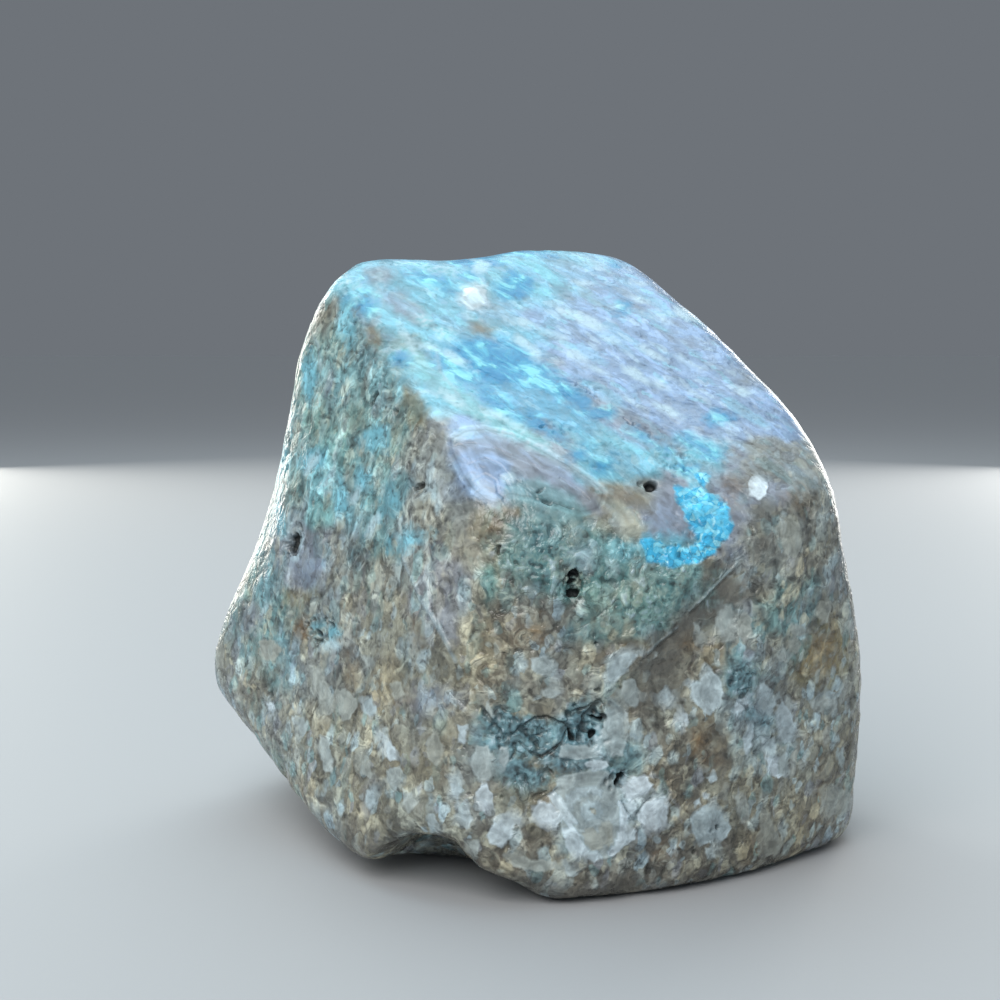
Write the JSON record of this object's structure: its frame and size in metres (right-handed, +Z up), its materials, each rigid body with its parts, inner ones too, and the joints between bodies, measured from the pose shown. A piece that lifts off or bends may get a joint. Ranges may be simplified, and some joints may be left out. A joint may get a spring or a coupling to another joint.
{
  "type": "polished shattuckite specimen",
  "caption": "Tumbled and polished free-form stone of brecciated shattuckite and chalcedony, one solid, which rests on a natural flat.",
  "frame": {"origin": "on the flat that the stone rests on, under the middle of the stone's box", "axes": "+Z up from the flat, -Y towards the broad sloping face's low side, which is the front, +X to the stone's right seen from the front"},
  "size_m": [0.0624, 0.049, 0.0563],
  "materials": {
    "polished_breccia": "polished breccia: blue to turquoise shattuckite, grey-lavender chalcedony, tan and brown matrix with pale clasts"
  },
  "bodies": {
    "root": {"stone": "polished_breccia"}
  },
  "joints": []
}
